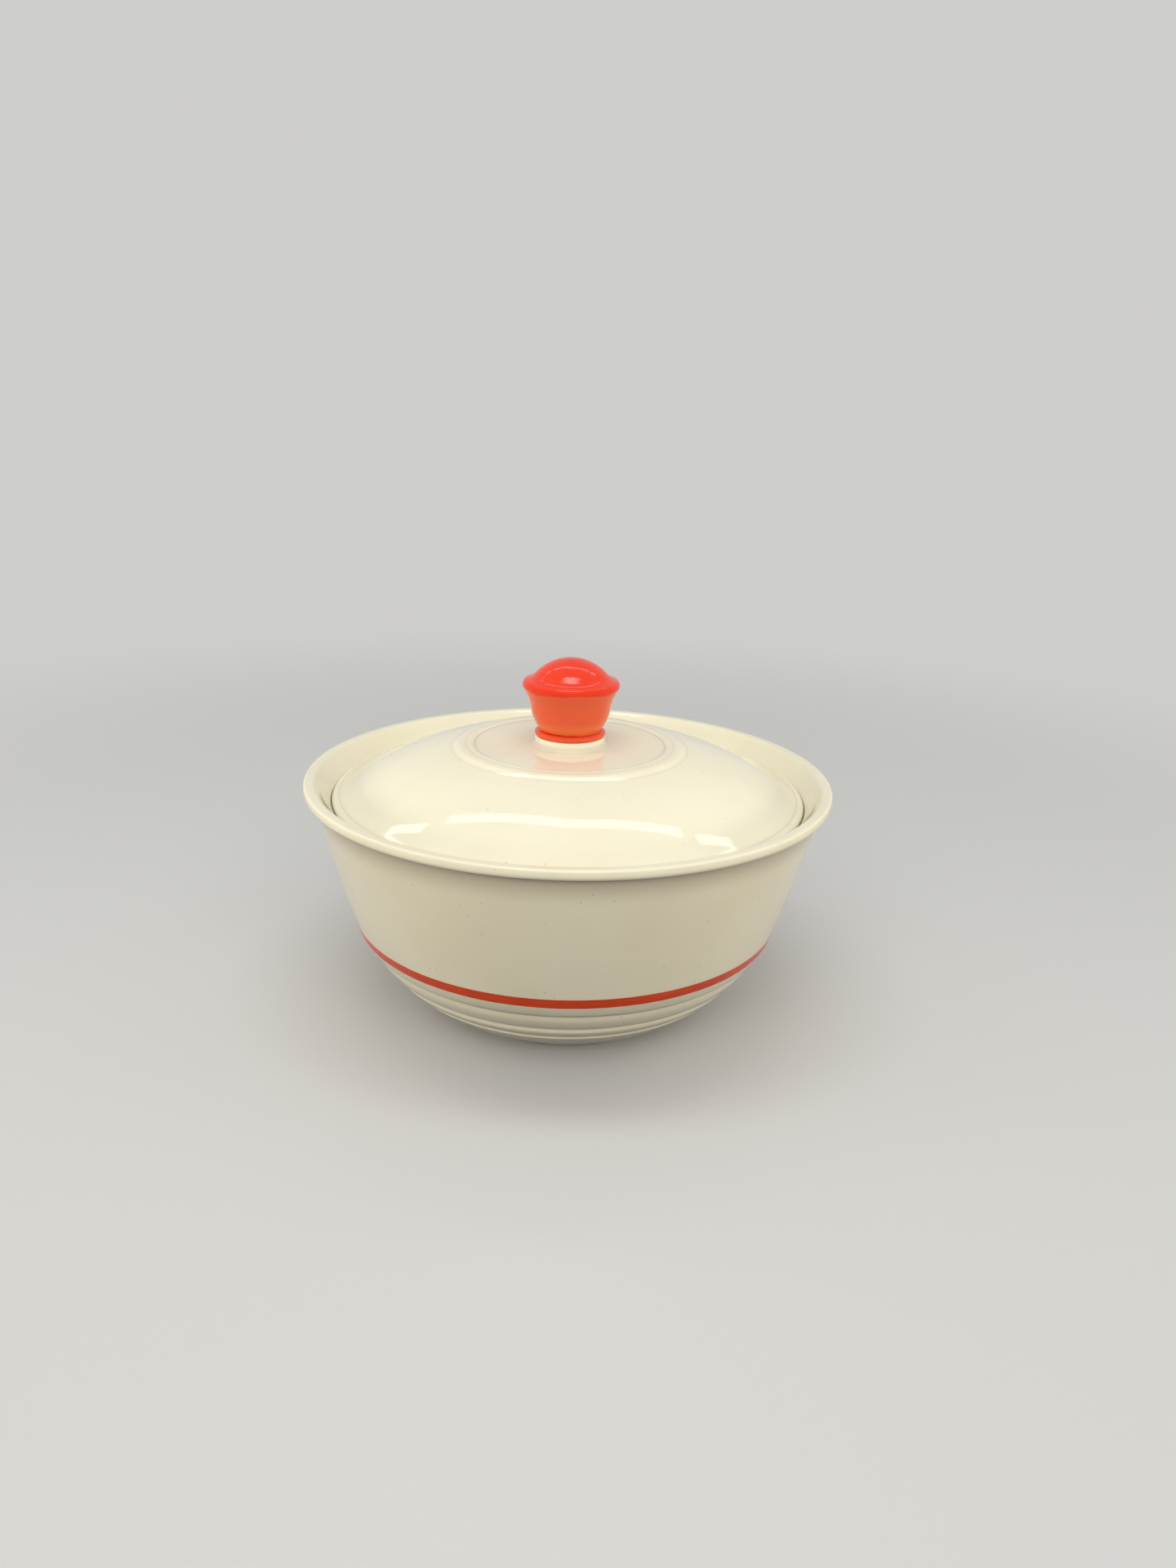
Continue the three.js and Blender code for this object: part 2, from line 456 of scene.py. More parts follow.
def pinholes(bench, place, spacing, size):
    """1 in the dots, 0 between them. Spacing and size are in metres."""
    settings = {"voronoi_dimensions": "3D", "feature": "F1"}
    cells = bench.add("ShaderNodeTexVoronoi", settings, {"Vector": place, "Scale": 1 / spacing})
    return 1 - cells.ramp(size * PINHOLE_CORE / spacing, size / spacing)


def bumped(bench, height, depth):
    """A normal that follows a height between 0 and 1, this deep in metres."""
    return bench.add("ShaderNodeBump", None, {"Height": height, "Distance": depth})


print(f"a pinhole is darkest in the middle {PINHOLE_CORE:.0%} of its radius")

# %% Ivory glaze
IVORY = (0.835, 0.780, 0.590, 1)
IVORY_THICK = (0.805, 0.745, 0.550, 1)
# The deeper tone for the hollows and under the rim: partly gathered glaze, partly painted shade.
IVORY_POOLED_AND_SHADED = (0.53, 0.462, 0.335, 1)
PINHOLE_GREY = (0.36, 0.32, 0.235, 1)
BARE_CLAY = (0.62, 0.53, 0.40, 1)
IVORY_CLOUDS = 38
CLOUD_THIN, CLOUD_THICK = 0.35, 0.7
IVORY_PEEL = 420
PEEL_DEPTH = 0.01 * MM
# Where the deeper tone starts and is full in the hollows, and how strong it is: partly gathered glaze, partly
# painted shade.
POOL_SHADE_FAINT, POOL_SHADE_FULL = 0.05, 0.9
POOL_AND_SHADE_SHARE = 0.7
IVORY_DOT_SPACING = 4.2 * MM
IVORY_DOT_SIZE = 0.34 * MM
IVORY_DOT_SHARE = 0.6
DOT_SINK = 2
FOOT_WIPED = 0.4 * MM
# Painted shade on the wall just under the rim, where the rim's overhang shades it.
RIM_SHADE_TOP = (rim_height - 3.4) * MM
RIM_SHADE_LENGTH = 8.2 * MM
RIM_SHADE_FADE = 1.0 * MM
RIM_SHADE_INSIDE = (rim_radius - 5.0) * MM
RIM_SHADE_EDGE = 0.4 * MM
RIM_SHADE_SHARE = 1.2
GLOSSY, CLOUDY_GLOSS, DOT_ROUGHNESS, CLAY_ROUGHNESS = 0.03, 0.04, 0.3, 0.7


def painted_rim_shade(height, radius):
    """1 in the painted shade just under the rim, on the outside of the wall alone."""
    run = height.ramp(RIM_SHADE_TOP - RIM_SHADE_LENGTH, RIM_SHADE_TOP) * (1 - height.ramp(RIM_SHADE_TOP, RIM_SHADE_TOP + RIM_SHADE_FADE))
    return run * radius.ramp(RIM_SHADE_INSIDE, RIM_SHADE_INSIDE + RIM_SHADE_EDGE)


def ivory_glaze():
    """The finish of the bowl and the lid."""
    material, bench, shader, place = new_finish("ivory_glaze")
    cloud = bench.noise(place, IVORY_CLOUDS, 3.0)
    peel = bench.noise(place, IVORY_PEEL, 2.0, seed=3.0)
    # A deeper tone in the hollows: partly glaze that gathered there, partly painted shade.
    hollow_pool_and_shade = hollows(bench, POOL_SHADE_FAINT, POOL_SHADE_FULL)
    dots = pinholes(bench, place, IVORY_DOT_SPACING, IVORY_DOT_SIZE) * IVORY_DOT_SHARE
    split = bench.add("ShaderNodeSeparateXYZ", None, {0: place})
    height = split.out("Z")
    radius = (split * split + split.out("Y") * split.out("Y")) ** 0.5
    bare = 1 - height.ramp(FOOT_WIPED, 2 * FOOT_WIPED)
    # The painted shade under the rim joins the deeper tone of the hollows.
    pooled_and_shaded = hollow_pool_and_shade.maths("MAXIMUM", hollow_pool_and_shade, painted_rim_shade(height, radius) * RIM_SHADE_SHARE)
    colour = bench.mixed(cloud.ramp(CLOUD_THIN, CLOUD_THICK), IVORY, IVORY_THICK)
    colour = bench.mixed(pooled_and_shaded * POOL_AND_SHADE_SHARE, colour, IVORY_POOLED_AND_SHADED)
    colour = bench.mixed(dots, colour, PINHOLE_GREY)
    roughness = GLOSSY + cloud * CLOUDY_GLOSS + dots * DOT_ROUGHNESS + bare * CLAY_ROUGHNESS
    plug(bench, bench.mixed(bare, colour, BARE_CLAY), shader.inputs["Base Color"])
    plug(bench, roughness, shader.inputs["Roughness"])
    plug(bench, bumped(bench, peel - dots * DOT_SINK, PEEL_DEPTH), shader.inputs["Normal"])
    shader.inputs["IOR"].default_value = GLAZE_IOR
    return material


ivory = ivory_glaze()
print("ivory glaze:", len(ivory.node_tree.nodes), "nodes")

# %% [markdown]
# ## Red line and red knob
# The line is enamel that a bander laid with a brush held against the turning bowl. It carries faint streaks
# round the bowl, and it is a little less glossy than the glaze under it. Noise that is squeezed in height
# gives such streaks without a picture.
# The knob was dipped: the red is deep on the lip and dome, darker still in the hollows there and in the notch
# over the flange, and turns towards orange down the cup, where it ran thin. The height on the piece tells
# these apart, and a little noise added to the height keeps the edge of the red from being a ruled line.

# %% Red line
LINE_RED = (0.62, 0.042, 0.002, 1)
LINE_RED_THIN = (0.72, 0.070, 0.006, 1)
STREAKS = 150
STREAK_SQUEEZE = (1.0, 1.0, 14.0)
STREAK_DEEP, STREAK_THIN = 0.4, 0.75
STREAK_DEPTH = 0.03 * MM
LINE_ROUGHNESS, STREAK_ROUGHNESS = 0.16, 0.14
LINE_SPECULAR = 0.25


def line_enamel():
    """The finish of the red line."""
    material, bench, shader, place = new_finish("red_line")
    squeezed = bench.add("ShaderNodeMapping", None, {"Vector": place, "Scale": STREAK_SQUEEZE})
    streak = bench.noise(squeezed, STREAKS, 3.0, seed=5.0)
    colour = bench.mixed(streak.ramp(STREAK_DEEP, STREAK_THIN), LINE_RED, LINE_RED_THIN)
    plug(bench, colour, shader.inputs["Base Color"])
    plug(bench, LINE_ROUGHNESS + streak * STREAK_ROUGHNESS, shader.inputs["Roughness"])
    plug(bench, bumped(bench, streak, STREAK_DEPTH), shader.inputs["Normal"])
    shader.inputs["Specular IOR Level"].default_value = LINE_SPECULAR
    return material


line_red = line_enamel()
print("red line:", len(line_red.node_tree.nodes), "nodes")

# %% Red knob
KNOB_RED = (0.76, 0.031, 0.002, 1)
KNOB_ORANGE = (0.74, 0.095, 0.029, 1)
KNOB_THIN = (0.79, 0.158, 0.037, 1)
KNOB_DEEP = (0.58, 0.012, 0.002, 1)
KNOB_CLOUDS = 140
KNOB_PEEL = 520
KNOB_PEEL_DEPTH = 0.04 * MM
KNOB_DOT_SPACING = 3.6 * MM
KNOB_DOT_SIZE = 0.22 * MM
KNOB_DOT_SHARE = 0.4
RED_STRAY = 2.2 * MM
FLANGE_TOP = (knob_seat + 2.2) * MM
FLANGE_EDGE = 0.6 * MM
FLANGE_SHARE = 0.25
THIN_FOOT = (knob_seat + 2.3) * MM
THIN_LENGTH = 4.0 * MM
LIP_FOOT = (knob_seat + 13.7) * MM
LIP_EDGE = 0.7 * MM
NOTCH_FAINT, NOTCH_FULL = 0.1, 0.8
KNOB_ROUGHNESS, KNOB_CLOUDY_GLOSS = 0.09, 0.07
KNOB_SPECULAR = 0.4


def knob_glaze():
    """The finish of the knob."""
    material, bench, shader, place = new_finish("red_glaze")
    cloud = bench.noise(place, KNOB_CLOUDS, 3.0, seed=8.0)
    peel = bench.noise(place, KNOB_PEEL, 2.0, seed=9.0)
    dots = pinholes(bench, place, KNOB_DOT_SPACING, KNOB_DOT_SIZE) * KNOB_DOT_SHARE
    height = bench.add("ShaderNodeSeparateXYZ", None, {0: place}).out("Z") + (cloud - 0.5) * RED_STRAY
    lip = height.ramp(LIP_FOOT, LIP_FOOT + LIP_EDGE)
    flange = 1 - height.ramp(FLANGE_TOP - FLANGE_EDGE, FLANGE_TOP)
    thin = (1 - height.ramp(THIN_FOOT, THIN_FOOT + THIN_LENGTH)) * (1 - flange)
    # Darker red in the hollows of the lip and in the notch over the flange.
    darker_in_hollows = hollows(bench, NOTCH_FAINT, NOTCH_FULL) * (lip + flange)
    colour = bench.mixed(lip + flange * FLANGE_SHARE, KNOB_ORANGE, KNOB_RED)
    colour = bench.mixed(thin, colour, KNOB_THIN)
    colour = bench.mixed(darker_in_hollows, colour, KNOB_DEEP)
    plug(bench, bench.mixed(dots, colour, KNOB_DEEP), shader.inputs["Base Color"])
    plug(bench, KNOB_ROUGHNESS + cloud * KNOB_CLOUDY_GLOSS, shader.inputs["Roughness"])
    plug(bench, bumped(bench, peel - dots, KNOB_PEEL_DEPTH), shader.inputs["Normal"])
    shader.inputs["IOR"].default_value = GLAZE_IOR
    shader.inputs["Specular IOR Level"].default_value = KNOB_SPECULAR
    return material


knob_red = knob_glaze()
print("red knob:", len(knob_red.node_tree.nodes), "nodes")

# %% [markdown]
# ## The bowl
# From the foot ring a round belly rises to the shoulder. A template scraped narrow grooves into it, each
# deeper than the one above, and left three flat ribs between them. Above the shoulder the wall flares almost
# straight to a thick rim that stands out squarely and leans back a little. Inside, a ledge a few millimetres
# below the rim carries the lid, and a low sill round that seat keeps the gap at the lid's edge narrow.
# The grooves could be cut with booleans, but those leave hard edges. In the profile the glaze softens them
# like every other corner. The profile goes once round the section, foot first.

# %% Sizes of the bowl
RIM_DEPTH = 3.5
RIM_TALL = 2.8
RIM_OVERHANG = 2.8
RIM_LEAN = 8
RIM_LOW_ROUND = 1.1
RIM_TOP_ROUND = 0.65
RIM_INNER_EDGE = 0.5
UNDER_RIM_FILLET = 0.8
SHOULDER_RADIUS = 61.7
WALL_BULGE = 0.6
BELLY_BULGE = 3.15
FOOT_RADIUS = 34.2
FOOT_HEIGHT = 0.8
FOOT_WIDTH = 3.0
FOOT_CHAMFER = 0.3
FOOT_RECESS = 1.8
WALL_THICKNESS = 3.8
BASE_THICKNESS = 4.2
LEDGE_WALL = 3.4
LEDGE_INSIDE_LID = 2.9
LEDGE_FACE = 1.2
LEDGE_REACH = 8.5
SEAT_DEPTH = 2.6
SEAT_FLARE = 0.6
SEAT_SILL = 1.5
SEAT_GAP = 0.22
BOWL_FLOW = 0.28
BOWL_SIDES = 256

shoulder = at(SHOULDER_RADIUS, line_foot)
under_rim = at(rim_radius - RIM_OVERHANG, rim_height - RIM_TALL - UNDER_RIM_FILLET)
belly = Bow(at(FOOT_RADIUS, FOOT_HEIGHT), shoulder, BELLY_BULGE)
wall = Bow(shoulder, under_rim, WALL_BULGE)
print(f"belly {belly.length:.1f} mm along its arc, wall {wall.length:.1f} mm")

# %% Ribs and rim
# From the shoulder down. A groove lies at each end of a rib, and the shoulder's own has no depth.
RIB_WIDTHS = (5.2, 8.2, 5.7)
GROOVE_DEPTHS = (0.0, 0.8, 1.5, 1.8)
GROOVE_SHARPNESS = (1.0, 2.6, 5.0, 6.0)
GROOVE_LIP = 0.6


def ribbed_belly():
    """The belly from the foot to the shoulder. Each groove is deeper than the one above it."""
    downward = []
    top = belly.length
    for rib, width in enumerate(RIB_WIDTHS):
        for across in np.linspace(1, -1, ARC_STEPS):
            groove = rib if across > 0 else rib + 1
            depth = GROOVE_DEPTHS[groove] * abs(across) ** GROOVE_SHARPNESS[groove]
            distance = top - width * (1 - across) / 2
            downward.append(belly.point(distance / belly.length, depth))
        top -= width
    return belly.run(0, (top - GROOVE_LIP) / belly.length) + downward[::-1]


def rim_face():
    """The outer face of the rim, from its underside to its flat top. It leans back a little."""
    low = at(rim_radius - RIM_LOW_ROUND, rim_height - RIM_TALL + RIM_LOW_ROUND)
    climb = RIM_TALL - RIM_LOW_ROUND - RIM_TOP_ROUND
    lean = climb * math.tan(math.radians(RIM_LEAN))
    top = at(rim_radius - RIM_TOP_ROUND - lean, rim_height - RIM_TOP_ROUND)
    return rounded(low, RIM_LOW_ROUND, -90, RIM_LEAN) + rounded(top, RIM_TOP_ROUND, RIM_LEAN, 90)


print("points in the ribbed belly:", len(ribbed_belly()))

# %% Bowl


def bowl_profile():
    """Once round the bowl's section: under the foot, up the outside, over the rim and down the inside."""
    foot_inside = FOOT_RADIUS - FOOT_WIDTH
    floor_height = FOOT_RECESS + BASE_THICKNESS
    rim_inside = rim_radius - RIM_DEPTH
    seat_wall = wall.radius(seat_height) - LEDGE_WALL
    ledge_inside = lid_radius - LEDGE_INSIDE_LID
    line_width = line_top - line_foot
    return [
        at(0, FOOT_RECESS),
        at(foot_inside - FOOT_RECESS, FOOT_RECESS),
        at(foot_inside, 0),
        at(FOOT_RADIUS - FOOT_CHAMFER, 0),
        at(FOOT_RADIUS, FOOT_CHAMFER),
        *ribbed_belly(),
        *wall.climb(line_foot, under_rim.imag),
        *rim_face(),
        at(rim_inside + RIM_INNER_EDGE, rim_height),
        at(rim_inside, rim_height - RIM_INNER_EDGE),
        at(seat_wall + SEAT_FLARE, seat_height + SEAT_DEPTH),
        at(lid_radius + SEAT_GAP, seat_height + SEAT_SILL),
        at(lid_radius + SEAT_GAP, seat_height),
        at(ledge_inside, seat_height),
        at(ledge_inside, seat_height - LEDGE_FACE),
        *wall.climb(seat_height - LEDGE_REACH, line_top, WALL_THICKNESS),
        *belly.climb(line_foot - line_width, floor_height, WALL_THICKNESS),
        at(0, floor_height),
    ]


bowl = turned_piece("bowl_glazed", bowl_profile(), BOWL_FLOW, ivory, BOWL_SIDES, seed=1.0)

# %% [markdown]
# ## The red line
# The enamel lies on the wall just above the shoulder, a few hundredths of a millimetre thick, with soft edges
# that stray a little from a true circle. A stripe in the bowl's material would be flat and would need its own
# mask. A thin closed ring catches the light at its edges as enamel does, and keeps its own finish.
# The tree runs a loop of points round the coat's section: out along its face and back inside the wall.

# %% Lay the line
LINE_COAT = 0.06
LINE_KEY = 0.25
LINE_EDGE = 0.35
LINE_STRAY = 0.10
LINE_STROKES = 70.0
LINE_LOOP = 33


def banding_tree():
    """The tree that lays a coat of enamel on the wall between two heights that stray a little."""
    bench, given = start_tree(
        "Lay the line",
        [("Profile", "Geometry"), ("Sides", "Int"), ("Foot", "Float"), ("Top", "Float"), ("Coat", "Float")]
        + [("Key", "Float"), ("Edge", "Float"), ("Stray", "Float"), ("Strokes", "Float"), ("Bend", "Float")]
        + [("Centre Radius", "Float"), ("Centre Height", "Float"), ("Weld", "Float"), ("Finish", "Material")],
    )
    grid, across, along = unit_grid(bench, given.out("Sides") + 1, LINE_LOOP)
    angle = across * FULL_TURN
    turn = along * FULL_TURN
    rise = 0.5 - turn.maths("COSINE", turn) * 0.5
    side = turn.maths("SINE", turn)
    swell = side.maths("SIGN", side) * side.maths("ABSOLUTE", side) ** given.out("Edge")
    proud = swell.maths("MAXIMUM", swell, 0.0) * given.out("Coat")
    sunk = swell.maths("MINIMUM", swell, 0.0) * given.out("Key")
    circle = swung(bench, given.out("Centre Radius"), given.out("Foot"), angle)
    low_stray = (bench.noise(circle, given.out("Strokes"), 2.0, seed=2.0) - 0.5) * given.out("Stray")
    high_stray = (bench.noise(circle, given.out("Strokes"), 2.0, seed=7.0) - 0.5) * given.out("Stray")
    low = given.out("Foot") + low_stray
    height = low + rise * (given.out("Top") + high_stray - low)
    depth = height - given.out("Centre Height")
    bowed = given.out("Bend") * given.out("Bend") - depth * depth
    radius = given.out("Centre Radius") + bowed.maths("SQRT", bowed) + proud + sunk
    return end_tree(bench, grid, swung(bench, radius, height, angle), given)


line_sizes = {
    "Foot": line_foot, "Top": line_top, "Coat": LINE_COAT, "Key": LINE_KEY, "Stray": 2 * LINE_STRAY,
    "Bend": wall.bend, "Centre Radius": wall.centre.real, "Centre Height": wall.centre.imag,
}
line_inputs = {name: size * MM for name, size in line_sizes.items()}
line_inputs |= {"Edge": LINE_EDGE, "Strokes": LINE_STROKES}
line_inputs |= {"Sides": BOWL_SIDES, "Weld": WELD, "Finish": line_red}
red_line = grown("red_line_enamel", bpy.data.meshes.new("red_line_start"), banding_tree(), line_inputs)
report(red_line)

# %% [markdown]
# ## The lid
# A low dome whose edge is rolled and drops into the rim, with a raised ring of two crests round the middle
# and a small boss that the knob is stuck to. A sphere cut level would give the dome, but not the crease above
# the rolled edge or the step inside the ring, which are what the light draws. So the lid has a template too.

# %% Lid
LID_THICKNESS = 3.6
BOSS_RISE = 2.8
LID_BULGE = 1.35
LID_EDGE_HEIGHT = 2.75
LID_EDGE_ROUND = 1.35
LID_EDGE_BAND = 2.1
LID_EDGE_END = 84
LID_SEAT_WIDTH = 3.0
LID_SEAT_FILLET = 5.0
RING_RADIUS = 27.5
RING_WIDTH = 6.7
RING_OUTER_DROP = 0.8
RING_BEAD = 2.6
RING_BEAD_STEP = 0.4
RING_RISE = 0.32
RING_BULGE = 0.42
RING_BEAD_BULGE = 0.24
BOSS_RADIUS = 10.1
BOSS_FILLET = 1.5
LID_FLOW = 0.2


def lid_profile():
    """Once round the lid's section: out along the hollow, round the edge and in over the dome to the boss."""
    disc_height = knob_seat - BOSS_RISE
    hollow_top = disc_height - LID_THICKNESS
    crease = at(lid_radius - LID_EDGE_BAND, seat_height + LID_EDGE_HEIGHT)
    edge_centre = at(lid_radius - LID_EDGE_ROUND, seat_height + LID_EDGE_ROUND)
    ring_outer = at(RING_RADIUS + RING_WIDTH, disc_height - RING_OUTER_DROP)
    ring_valley = at(RING_RADIUS + RING_BEAD, disc_height + RING_RISE)
    ring_inner = at(RING_RADIUS + RING_BEAD_STEP, disc_height + RING_RISE)
    dome = Bow(crease, ring_outer, LID_BULGE)
    fillet_centre = at(BOSS_RADIUS + BOSS_FILLET, disc_height + BOSS_FILLET)
    return [
        at(0, hollow_top),
        at(RING_RADIUS, hollow_top),
        *dome.run(1, LID_SEAT_FILLET / dome.length, LID_THICKNESS),
        at(edge_centre.real - LID_SEAT_WIDTH, seat_height),
        *rounded(edge_centre, LID_EDGE_ROUND, -90, LID_EDGE_END),
        *dome.run(),
        *Bow(ring_outer, ring_valley, RING_BULGE).run(),
        *Bow(ring_valley, ring_inner, RING_BEAD_BULGE).run(),
        at(RING_RADIUS, disc_height),
        *rounded(fillet_centre, BOSS_FILLET, -90, -180),
        at(BOSS_RADIUS, knob_seat),
        at(0, knob_seat),
    ]


lid = turned_piece("lid_glazed", lid_profile(), LID_FLOW, ivory, BOWL_SIDES, seed=4.0)

# %% [markdown]
# ## The knob
# A small cup stands on a flange with a notch above it. It flares out to a lip for the finger tips, and a low
# dome closes the top. It could be pulled by hand from a cylinder, but as a template it stays round, and each
# arc keeps its own size. A hollow arc is a bulging one drawn from its other end, so the flare under the lip
# and the hollow where the lip meets the dome need no new helper.

# %% Knob
FLANGE_RADIUS = 10.3
FLANGE_HEIGHT = 1.6
FLANGE_END = 85
NECK_RADIUS = 8.8
NECK_HEIGHT = 1.75
CUP_RADIUS = 11.75
CUP_HEIGHT = 9.6
CUP_BULGE = 0.6
FLARE_HOLLOW = 0.12
LIP_ROLL = 1.6
LIP_HEIGHT = 14.85
LIP_START = -25
LIP_END = 68
DOME_RADIUS = 11.0
DOME_RISE = 5.4
DOME_BULGE = 1.4
BRIM_HOLLOW = 0.18
BRIM_BLEND = 0.05
KNOB_FLOW = 0.25
KNOB_SIDES = 192


def knob_profile():
    """The knob's section: the flange, the cup, the flare, the lip and the dome."""
    flange_round = FLANGE_HEIGHT / 2
    flange_centre = at(FLANGE_RADIUS - flange_round, knob_seat + flange_round)
    cup_top = at(CUP_RADIUS, knob_seat + CUP_HEIGHT)
    cup = Bow(at(NECK_RADIUS, knob_seat + NECK_HEIGHT), cup_top, CUP_BULGE)
    lip_centre = at(lip_radius - LIP_ROLL, knob_seat + LIP_HEIGHT)
    lip = rounded(lip_centre, LIP_ROLL, LIP_START, LIP_END)
    dome = Bow(at(DOME_RADIUS, knob_top - DOME_RISE), at(0, knob_top), DOME_BULGE)
    return [
        at(0, knob_seat),
        *rounded(flange_centre, flange_round, -90, FLANGE_END),
        *cup.run(),
        *Bow(lip[0], cup_top, FLARE_HOLLOW).run(1, 0),
        *lip,
        *Bow(dome.point(BRIM_BLEND), lip[-1], BRIM_HOLLOW).run(1, 0),
        *dome.run(BRIM_BLEND),
    ]


knob = turned_piece("knob_glazed", knob_profile(), KNOB_FLOW, knob_red, KNOB_SIDES, seed=6.0)

# %% [markdown]
# ## Which piece stands for which solid
# Each new piece rides on the body of the solid that it replaces, so that when the lid lifts, its glazed
# surface and the knob go with it.

# %% Ride and replace
PIECES = (
    (bowl, "bowl", "bowl", "ivory_glaze"),
    (red_line, "bowl", "red_band", "red_line"),
    (lid, "lid", "lid", "ivory_glaze"),
    (knob, "lid", "lid_knob", "red_glaze"),
)
for piece, body, node, slot in PIECES:
    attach(piece, body)
    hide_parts(node)
    print(piece.name, "rides on", body, "and stands for", node)

# %% [markdown]
# ## Floor and background
# A pale sheet runs under the dish and away to the back. It keeps the dish's shadow near the foot and fades
# with distance into the background's own pale grey, so there is no horizon. The Light Path node tells a ray
# that the camera sees, straight or in a mirror, from one that carries light. Only the first kind meets the
# pale sheet and background. To the second kind the background is a soft even fill, and the sheet gives back
# little light, so that the pale surroundings don't wash out the shade under the belly.

# %% Floor and world
PALE = (0.62, 0.615, 0.60, 1)
FLOOR_SIZE = 12.0
FLOOR_DROP = 0.1 * MM
FADE_START = 0.16
FADE_END = 0.62
FLOOR_ROUGHNESS = 0.7
FLOOR_BOUNCE = (0.035, 0.034, 0.032, 1)
FILL_LIGHT = (0.30, 0.30, 0.297, 1)


def seen_ray(bench):
    """1 for a ray that the camera sees, straight or in a shiny or clear surface."""
    path = bench.add("ShaderNodeLightPath")
    seen = path.maths("MAXIMUM", path.out("Is Camera Ray"), path.out("Is Glossy Ray"))
    return seen.maths("MAXIMUM", seen, path.out("Is Transmission Ray"))


def pale_sheet():
    """The floor's material, which turns into the background's colour far from the dish."""
    material, bench, shader, place = new_finish("pale_sheet")
    away = bench.add("ShaderNodeVectorMath", {"operation": "LENGTH"}, {0: place}, out="Value")
    seen = seen_ray(bench)
    share = away.ramp(FADE_START, FADE_END) * seen
    plug(bench, bench.mixed(seen, FLOOR_BOUNCE, PALE), shader.inputs["Base Color"])
    shader.inputs["Roughness"].default_value = FLOOR_ROUGHNESS
    shader.inputs["Specular IOR Level"].default_value = 0.0
    glow = bench.add("ShaderNodeEmission", None, {"Color": PALE, "Strength": 1.0})
    sheet = Wire(bench, shader.outputs["BSDF"])
    both = bench.add("ShaderNodeMixShader", None, {0: share, 1: sheet, 2: glow})
    plug(bench, both, material.node_tree.nodes["Material Output"].inputs["Surface"])
    return material


def lay_floor():
    """A square just under the foot ring."""
    half = FLOOR_SIZE / 2
    mesh = bpy.data.meshes.new("floor")
    outline = [(-half, -half), (half, -half), (half, half), (-half, half)]
    mesh.from_pydata([(x, y, -FLOOR_DROP) for x, y in outline], [], [(0, 1, 2, 3)])
    mesh.materials.append(pale_sheet())
    floor = bpy.data.objects.new("floor", mesh)
    bpy.context.scene.collection.objects.link(floor)


def paint_world():
    """A world that looks pale and lights the dish with an even fill."""
    world = bpy.data.worlds.new("studio")
    world.use_nodes = True
    bpy.context.scene.world = world
    bench = Bench(world.node_tree)
    background = world.node_tree.nodes["Background"]
    plug(bench, bench.mixed(seen_ray(bench), FILL_LIGHT, PALE), background.inputs["Color"])


lay_floor()
paint_world()
print("floor and world are pale:", PALE[:3])

# %% [markdown]
# ## Light
# The dish stands under a broad, faint roof. Four narrow strips hang in an arc towards the back, and the glaze
# on the front of the lid mirrors them as one long crisp highlight. A pendant in front of them puts the
# bright spot on the knob's dome. Only these show in the gloss. The key and front panels, high in front, light
# the wall and leave the shade under the rim and in the grooves. Low panels at the left and right light the
# flanks, and faint ones, high at the sides and low at the back, fill what is left. A picture of a studio
# could light the dish too, but panels can be hung so that each highlight falls where it should.
# A lamp's power in watts depends on its size. Here each panel has the brightness of its face instead, where 1
# would show as plain white, and the power is worked out from it.

# %% Panels
COOL = (0.975, 1.0, 1.015)
WARM = (1.0, 0.945, 0.870)
DISH = (0.0, 0.0, 0.05)
LID_EDGE = (0.0, 0.0, 0.06)
DOWN = None
STRIP_HEIGHT = 0.59
STRIP_DEPTH = 0.045
STRIP_BRIGHTNESS = 3.0


@dataclass
class Panel:
    """A soft rectangular lamp, sized in metres and turned in degrees. It faces a place, or straight down."""

    place: tuple
    width: float
    depth: float
    brightness: float
    tint: tuple = COOL
    faces: tuple = DISH
    turn: float = 0
    in_gloss: bool = False


def strip(east, north, width, turn):
    """One of the narrow level panels that the lid mirrors."""
    place = (east, north, STRIP_HEIGHT)
    return Panel(place, width, STRIP_DEPTH, STRIP_BRIGHTNESS, faces=DOWN, turn=turn, in_gloss=True)


PANELS = {
    "roof": Panel((0.0, 0.020, 0.60), 1.20, 0.38, 0.2, faces=DOWN, in_gloss=True),
    "strip_left": strip(-0.14, 0.258, 0.30, -20),
    "strip_right": strip(0.13, 0.230, 0.27, 11),
    "strip_far_left": strip(-0.42, 0.360, 0.17, -37),
    "strip_far_right": strip(0.37, 0.290, 0.14, 33),
    "pendant": Panel((-0.03, -0.108, 0.58), 0.36, 0.09, 7.0, faces=DOWN, in_gloss=True),
    "high_left": Panel((-0.62, -0.100, 0.62), 0.60, 0.40, 0.45),
    "high_right": Panel((0.62, -0.100, 0.62), 0.60, 0.40, 0.45),
    "left": Panel((-0.75, -0.150, 0.05), 0.90, 0.20, 7.8, WARM),
    "right": Panel((0.75, -0.150, 0.05), 0.90, 0.20, 7.0, WARM),
    "key": Panel((0.0, -0.800, 0.85), 1.20, 0.50, 1.7),
    "front": Panel((0.0, -1.050, 0.68), 1.60, 0.34, 3.0, WARM),
    "back_left": Panel((-0.70, 0.700, 0.22), 0.50, 0.40, 1.4, faces=LID_EDGE),
    "back_right": Panel((0.70, 0.700, 0.22), 0.50, 0.40, 1.4, faces=LID_EDGE),
}
print("panels:", ", ".join(PANELS))

# %% Hang the panels
WATTS_FOR_WHITE = math.pi


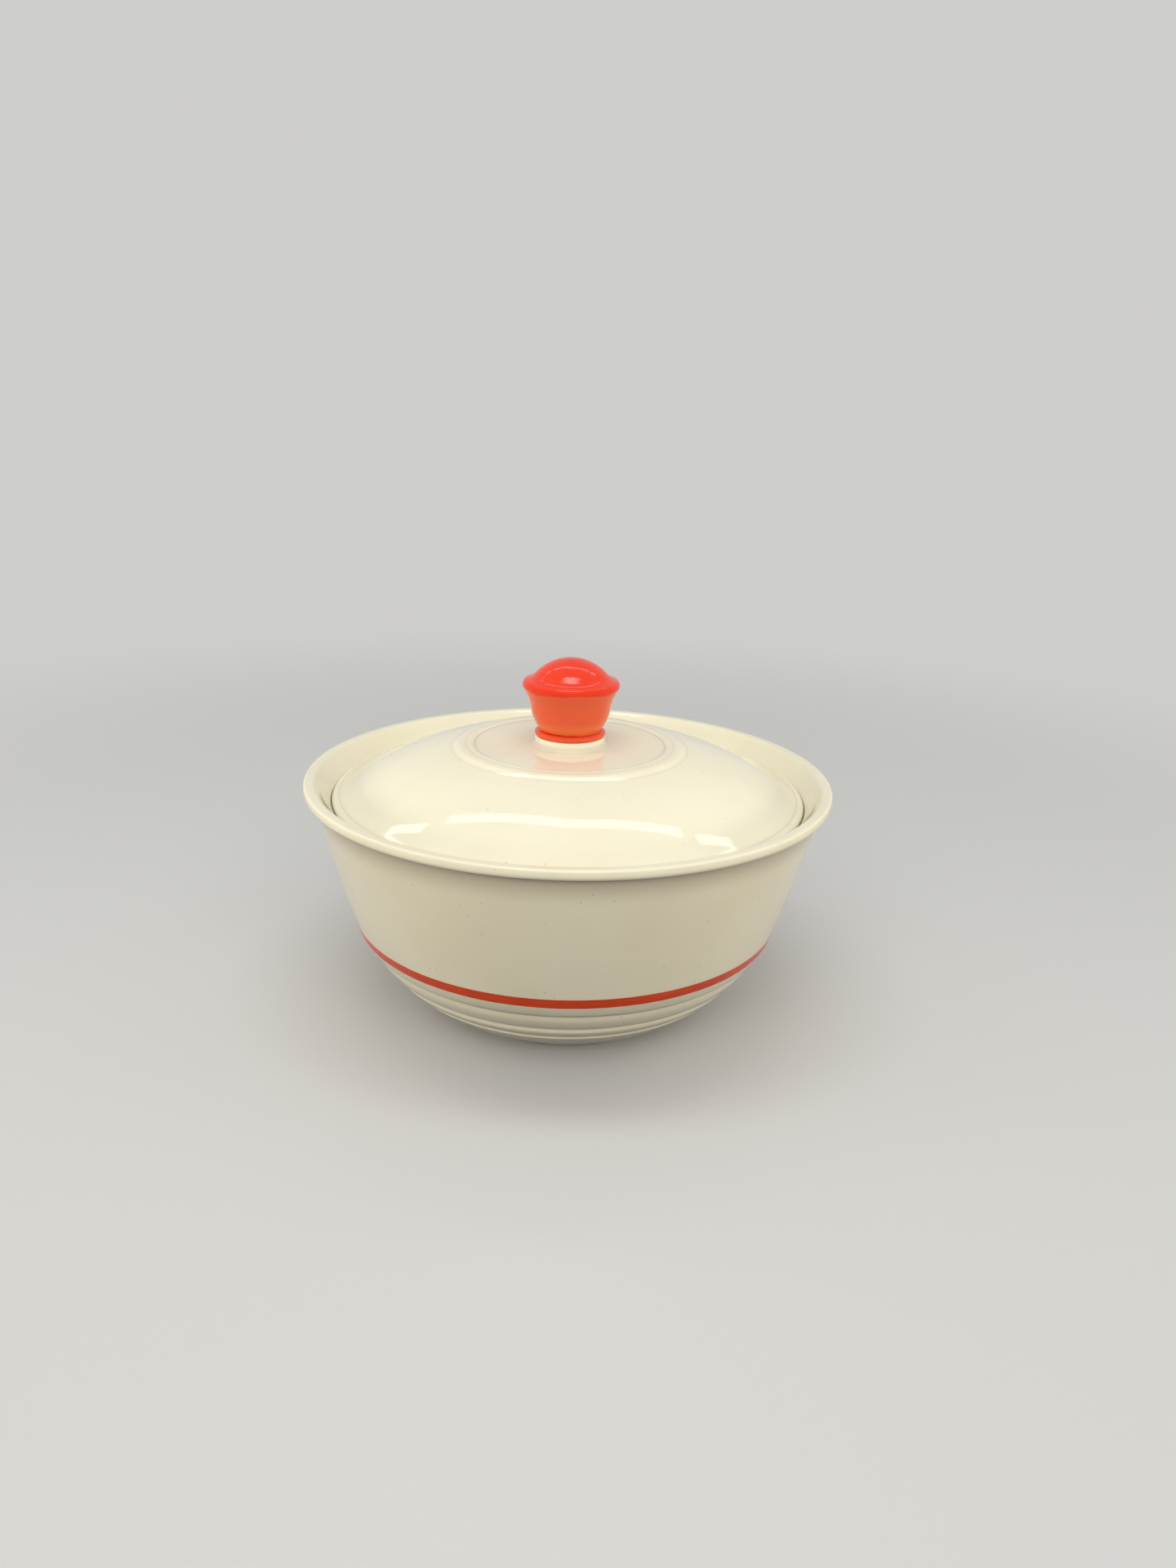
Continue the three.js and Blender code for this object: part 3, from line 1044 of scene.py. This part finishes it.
def hang_panel(name, panel):
    """Makes a panel's lamp and points it. The camera itself never sees it."""
    lamp = bpy.data.lights.new(name, "AREA")
    lamp.shape = "RECTANGLE"
    lamp.size = panel.width
    lamp.size_y = panel.depth
    lamp.energy = panel.brightness * WATTS_FOR_WHITE * panel.width * panel.depth
    lamp.color = panel.tint
    holder = bpy.data.objects.new(name, lamp)
    bpy.context.scene.collection.objects.link(holder)
    target = panel.faces or (panel.place[0], panel.place[1], 0.0)
    east, north, up = (goal - start for goal, start in zip(target, panel.place))
    heading = Matrix.Rotation(math.atan2(-east, north), 4, "Z")
    tilt = Matrix.Rotation(math.atan2(math.hypot(east, north), -up), 4, "X")
    twist = Matrix.Rotation(math.radians(panel.turn), 4, "Z")
    holder.matrix_world = Matrix.Translation(panel.place) @ heading @ tilt @ twist
    holder.visible_camera = False
    holder.visible_glossy = panel.in_gloss
    return lamp.energy


powers = [hang_panel(name, panel) for name, panel in PANELS.items()]
print(f"{len(powers)} panels, {sum(powers):.1f} watts in all")

# %% [markdown]
# ## Camera
# The view is the photograph's: a wide lens close to the dish, a little above it and looking down. The numbers
# were found by fitting the ellipses of the rim, the lid, the ring and the line.

# %% Camera
CAMERA_PLACE = (0.0, -0.32863, 0.17478)
CAMERA_PITCH = 0.3165
CAMERA_YAW = 0.0171
CAMERA_ROLL = -0.0296
FOCAL_PIXELS = 1442.0
PICTURE_HEIGHT = 1920
SENSOR = 36.0
NEAREST = 0.01


def set_camera():
    """A camera turned about level: first its roll, then its pitch, then its yaw."""
    data = bpy.data.cameras.new("camera")
    data.sensor_width = SENSOR
    data.lens = SENSOR * FOCAL_PIXELS / PICTURE_HEIGHT
    data.clip_start = NEAREST
    camera = bpy.data.objects.new("camera", data)
    bpy.context.scene.collection.objects.link(camera)
    upright = Matrix.Rotation(-CAMERA_YAW, 4, "Z") @ Matrix.Rotation(math.pi / 2 - CAMERA_PITCH, 4, "X")
    camera.matrix_world = Matrix.Translation(CAMERA_PLACE) @ upright @ Matrix.Rotation(-CAMERA_ROLL, 4, "Z")
    bpy.context.scene.camera = camera
    return data.lens


print(f"camera: {set_camera():.1f} mm lens")
bpy.context.scene.view_settings.view_transform = "Standard"
